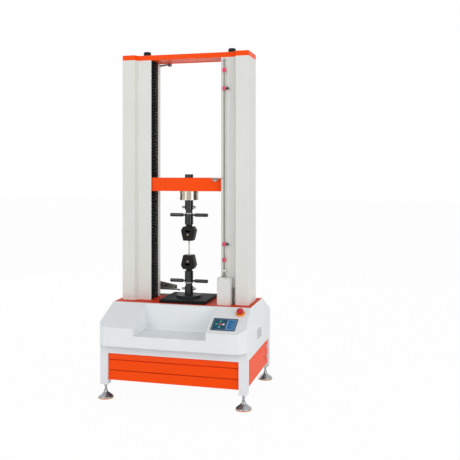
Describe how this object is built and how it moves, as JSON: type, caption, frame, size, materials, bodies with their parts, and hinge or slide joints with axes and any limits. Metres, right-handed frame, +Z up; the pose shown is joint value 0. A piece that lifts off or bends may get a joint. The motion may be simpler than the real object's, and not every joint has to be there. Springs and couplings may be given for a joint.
{
  "type": "universal testing machine",
  "caption": "Floor-standing double-column tensile testing machine with a moving crosshead between screws, wedge grips, limit gear, and a sloping control front on a louvred base frame.",
  "frame": {"origin": "on the floor under the load axis, at the middle of the machine's width and depth", "axes": "+X to the right seen from the operator, +Y to the rear, +Z up along the load axis"},
  "size_m": [0.97, 0.804, 2.183],
  "materials": {
    "frame_paint": "semi-gloss powder coat",
    "cover_paint": "semi-gloss powder coat",
    "column_paint": "satin powder coat",
    "orange_paint": "gloss powder coat",
    "cast_beam": "primed casting",
    "motor_paint": "matte enamel",
    "black_oxide": "black oxide",
    "ground_steel": "ground",
    "plated_steel": "nickel plated",
    "polished_steel": "polished",
    "bearing_bronze": "machined",
    "cast_aluminium": "anodised grey",
    "belt_rubber": "matte",
    "cable_sheath": "matte",
    "bellows_cloth": "matte coated cloth",
    "specimen_rubber": "matte",
    "black_plastic": "gloss",
    "panel_film": "printed film",
    "key_film": "embossed film",
    "stop_red": "gloss",
    "stop_plastic": "gloss",
    "ring_plastic": "gloss"
  },
  "bodies": {
    "frame": {"base_frame": "frame_paint", "louvre_panels": "orange_paint", "fascia": "cover_paint", "side_covers": "cover_paint", "rear_cover": "cover_paint", "table_top": "orange_paint", "lower_beam": "cast_beam", "platen": "black_oxide", "lower_connector": "black_oxide", "lower_grip_body": "black_oxide", "left_column_cover": "column_paint", "right_column_cover": "column_paint", "top_beam": "cast_beam", "cap": "orange_paint", "guide_columns": "ground_steel", "screw_bearings": "ground_steel", "drive_unit": "motor_paint", "drive_belt": "belt_rubber", "screw_caps": "black_plastic", "limit_switch": "cover_paint", "limit_cable": "cable_sheath", "control_panel": "panel_film", "e_stop_ring": "ring_plastic", "extensometer_post": "ground_steel", "upper_bellows": "bellows_cloth", "lower_bellows": "bellows_cloth", "specimen": "specimen_rubber"},
    "crosshead": {"crosshead_beam": "orange_paint", "crosshead_bearings": "bearing_bronze", "load_cell": "polished_steel", "upper_connector": "black_oxide", "upper_grip_body": "black_oxide", "striker_bracket": "plated_steel"},
    "left_screw": {"left_screw": "ground_steel"},
    "right_screw": {"right_screw": "ground_steel"},
    "motor_pulley": {"motor_pulley": "cast_aluminium"},
    "upper_sleeve": {"upper_sleeve": "black_oxide"},
    "lower_sleeve": {"lower_sleeve": "black_oxide"},
    "upper_left_jaw": {"upper_left_jaw": "ground_steel"},
    "upper_right_jaw": {"upper_right_jaw": "ground_steel"},
    "lower_left_jaw": {"lower_left_jaw": "ground_steel"},
    "lower_right_jaw": {"lower_right_jaw": "ground_steel"},
    "upper_pin": {"upper_pin": "plated_steel"},
    "lower_pin": {"lower_pin": "plated_steel"},
    "limit_rod": {"limit_rod": "plated_steel"},
    "upper_stop": {"upper_stop": "stop_plastic"},
    "lower_stop": {"lower_stop": "stop_plastic"},
    "e_stop_button": {"e_stop_button": "stop_red"},
    "up_key": {"up_key": "key_film"},
    "left_key": {"left_key": "key_film"},
    "stop_key": {"stop_key": "key_film"},
    "right_key": {"right_key": "key_film"},
    "down_key": {"down_key": "key_film"},
    "front_left_foot": {"front_left_foot": "polished_steel"},
    "front_right_foot": {"front_right_foot": "polished_steel"},
    "rear_left_foot": {"rear_left_foot": "polished_steel"},
    "rear_right_foot": {"rear_right_foot": "polished_steel"},
    "lower_arm": {"lower_arm": "cast_aluminium"},
    "upper_arm": {"upper_arm": "cast_aluminium"}
  },
  "joints": [
    {"name": "crosshead_slide", "type": "slide", "parent": "frame", "child": "crosshead", "axis": [0, 0, 1], "range_m": [-0.085, 0.48], "deforming": ["upper_bellows", "lower_bellows", "specimen"]},
    {"name": "left_screw_spin", "type": "hinge", "parent": "frame", "child": "left_screw", "pos_m": [-0.287, 0, 0.57], "axis": [0, 0, 1], "continuous": true},
    {"name": "right_screw_spin", "type": "hinge", "parent": "frame", "child": "right_screw", "pos_m": [0.287, 0, 0.57], "axis": [0, 0, 1], "continuous": true},
    {"name": "motor_pulley_spin", "type": "hinge", "parent": "frame", "child": "motor_pulley", "pos_m": [0, 0.15, 0.415], "axis": [0, 0, 1], "continuous": true},
    {"name": "upper_sleeve_turn", "type": "hinge", "parent": "crosshead", "child": "upper_sleeve", "pos_m": [0, 0, 1.118], "axis": [0, 0, 1], "range_deg": [0, 720]},
    {"name": "lower_sleeve_turn", "type": "hinge", "parent": "frame", "child": "lower_sleeve", "pos_m": [0, 0, 0.6925], "axis": [0, 0, 1], "range_deg": [0, 720]},
    {"name": "upper_left_jaw_slide", "type": "slide", "parent": "crosshead", "child": "upper_left_jaw", "axis": [-0.1908, 0, 0.9816], "range_m": [0, 0.0062]},
    {"name": "lower_left_jaw_slide", "type": "slide", "parent": "frame", "child": "lower_left_jaw", "axis": [-0.1908, 0, -0.9816], "range_m": [0, 0.0062]},
    {"name": "upper_right_jaw_slide", "type": "slide", "parent": "crosshead", "child": "upper_right_jaw", "axis": [0.1908, 0, 0.9816], "range_m": [0, 0.0062]},
    {"name": "lower_right_jaw_slide", "type": "slide", "parent": "frame", "child": "lower_right_jaw", "axis": [0.1908, 0, -0.9816], "range_m": [0, 0.0062]},
    {"name": "upper_pin_slide", "type": "slide", "parent": "crosshead", "child": "upper_pin", "axis": [1, 0, 0], "range_m": [0, 0.06]},
    {"name": "lower_pin_slide", "type": "slide", "parent": "frame", "child": "lower_pin", "axis": [1, 0, 0], "range_m": [0, 0.06]},
    {"name": "limit_rod_slide", "type": "slide", "parent": "frame", "child": "limit_rod", "axis": [0, 0, 1], "range_m": [-0.005, 0.005], "stiffness_N_per_m": 3000, "springref_m": 0.0027},
    {"name": "upper_stop_slide", "type": "slide", "parent": "limit_rod", "child": "upper_stop", "axis": [0, 0, 1], "range_m": [-0.05, 0.085]},
    {"name": "lower_stop_slide", "type": "slide", "parent": "limit_rod", "child": "lower_stop", "axis": [0, 0, 1], "range_m": [-0.07, 0.28]},
    {"name": "e_stop_press", "type": "slide", "parent": "frame", "child": "e_stop_button", "axis": [0, 0.4662, -0.8847], "range_m": [0, 0.005]},
    {"name": "up_key_press", "type": "slide", "parent": "frame", "child": "up_key", "axis": [0, 0.4662, -0.8847], "range_m": [0, 0.0005], "stiffness_N_per_m": 400},
    {"name": "left_key_press", "type": "slide", "parent": "frame", "child": "left_key", "axis": [0, 0.4662, -0.8847], "range_m": [0, 0.0005], "stiffness_N_per_m": 400},
    {"name": "stop_key_press", "type": "slide", "parent": "frame", "child": "stop_key", "axis": [0, 0.4662, -0.8847], "range_m": [0, 0.0005], "stiffness_N_per_m": 400},
    {"name": "right_key_press", "type": "slide", "parent": "frame", "child": "right_key", "axis": [0, 0.4662, -0.8847], "range_m": [0, 0.0005], "stiffness_N_per_m": 400},
    {"name": "down_key_press", "type": "slide", "parent": "frame", "child": "down_key", "axis": [0, 0.4662, -0.8847], "range_m": [0, 0.0005], "stiffness_N_per_m": 400},
    {"name": "front_left_foot_screw", "type": "hinge", "parent": "frame", "child": "front_left_foot", "pos_m": [-0.4375, -0.321, 0.09], "axis": [0, 0, 1], "continuous": true},
    {"name": "rear_left_foot_screw", "type": "hinge", "parent": "frame", "child": "rear_left_foot", "pos_m": [-0.4375, 0.321, 0.09], "axis": [0, 0, 1], "continuous": true},
    {"name": "front_right_foot_screw", "type": "hinge", "parent": "frame", "child": "front_right_foot", "pos_m": [0.4375, -0.321, 0.09], "axis": [0, 0, 1], "continuous": true},
    {"name": "rear_right_foot_screw", "type": "hinge", "parent": "frame", "child": "rear_right_foot", "pos_m": [0.4375, 0.321, 0.09], "axis": [0, 0, 1], "continuous": true},
    {"name": "lower_arm_slide", "type": "slide", "parent": "frame", "child": "lower_arm", "axis": [0, 0, 1], "range_m": [0, 1]},
    {"name": "upper_arm_slide", "type": "slide", "parent": "lower_arm", "child": "upper_arm", "axis": [0, 0, 1], "range_m": [0, 0.4]}
  ],
  "couplings": [
    {"joint": "left_screw_spin", "follows": "crosshead_slide", "rad_per_m": -628.32},
    {"joint": "right_screw_spin", "follows": "crosshead_slide", "rad_per_m": -628.32},
    {"joint": "motor_pulley_spin", "follows": "crosshead_slide", "rad_per_m": -1256.6},
    {"joint": "upper_left_jaw_slide", "follows": "upper_sleeve_turn", "m_per_rad": 0.0004864},
    {"joint": "upper_right_jaw_slide", "follows": "upper_sleeve_turn", "m_per_rad": 0.0004864},
    {"joint": "lower_left_jaw_slide", "follows": "lower_sleeve_turn", "m_per_rad": 0.0004864},
    {"joint": "lower_right_jaw_slide", "follows": "lower_sleeve_turn", "m_per_rad": 0.0004864}
  ]
}
